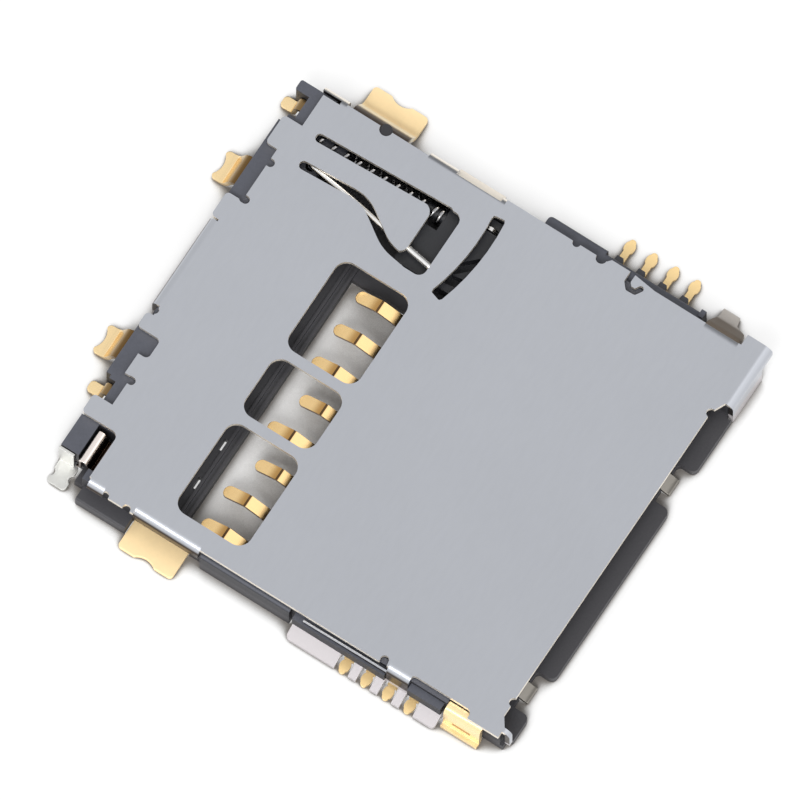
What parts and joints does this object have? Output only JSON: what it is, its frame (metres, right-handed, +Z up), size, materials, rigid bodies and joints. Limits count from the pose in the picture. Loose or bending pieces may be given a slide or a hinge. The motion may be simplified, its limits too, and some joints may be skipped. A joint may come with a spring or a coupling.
{
  "type": "push-push card socket",
  "caption": "Flat surface-mount socket for a small memory card: folded steel shell over a moulded base, sprung contacts, side solder tails and a push-push eject slide.",
  "frame": {"origin": "middle of the part's outline in plan, at the solder plane", "axes": "+Z up from the board, the mouth faces -Y and the card goes in along +Y, +X is the side with the eject slide"},
  "size_m": [0.015, 0.0158, 0.0013],
  "materials": {
    "shell_steel": "satin rolled stainless sheet",
    "base_plastic": "matte moulded black",
    "slide_plastic": "matte moulded black",
    "contact_gold": "gold plated strip",
    "nail_gold": "matte gold plated strip",
    "tin_plate": "tin plated strip",
    "spring_steel": "bright drawn wire and strip"
  },
  "bodies": {
    "base": {"shell": "shell_steel", "housing": "base_plastic", "contact_1": "contact_gold", "contact_2": "contact_gold", "contact_3": "contact_gold", "contact_4": "contact_gold", "contact_5": "contact_gold", "contact_6": "contact_gold", "contact_7": "contact_gold", "contact_8": "contact_gold", "right_nail": "nail_gold", "left_nail": "nail_gold", "back_right_nail": "nail_gold", "back_left_nail": "nail_gold", "front_left_nail": "nail_gold", "back_right_terminal": "nail_gold", "back_left_terminal": "nail_gold", "front_foot_right": "tin_plate", "front_foot_left": "tin_plate", "detect_spring": "tin_plate", "detect_terminal": "tin_plate", "eject_spring": "spring_steel"},
    "slide": {"slider": "slide_plastic", "lock_spring": "spring_steel"},
    "follower": {"follower_wire": "spring_steel"}
  },
  "joints": [
    {"name": "slide_push", "type": "slide", "parent": "base", "child": "slide", "axis": [0, 1, 0], "range_m": [0, 0.0023], "stiffness_N_per_m": 40, "springref_m": -0.0005, "deforming": ["eject_spring"]},
    {"name": "follower_swing", "type": "hinge", "parent": "base", "child": "follower", "pos_m": [0.00426, 0.0056, 0.00103], "axis": [0, 0, 1], "range_deg": [0, 4.5]}
  ],
  "couplings": [
    {"joint": "follower_swing", "follows": "slide_push", "rad_per_m": 32.26}
  ]
}
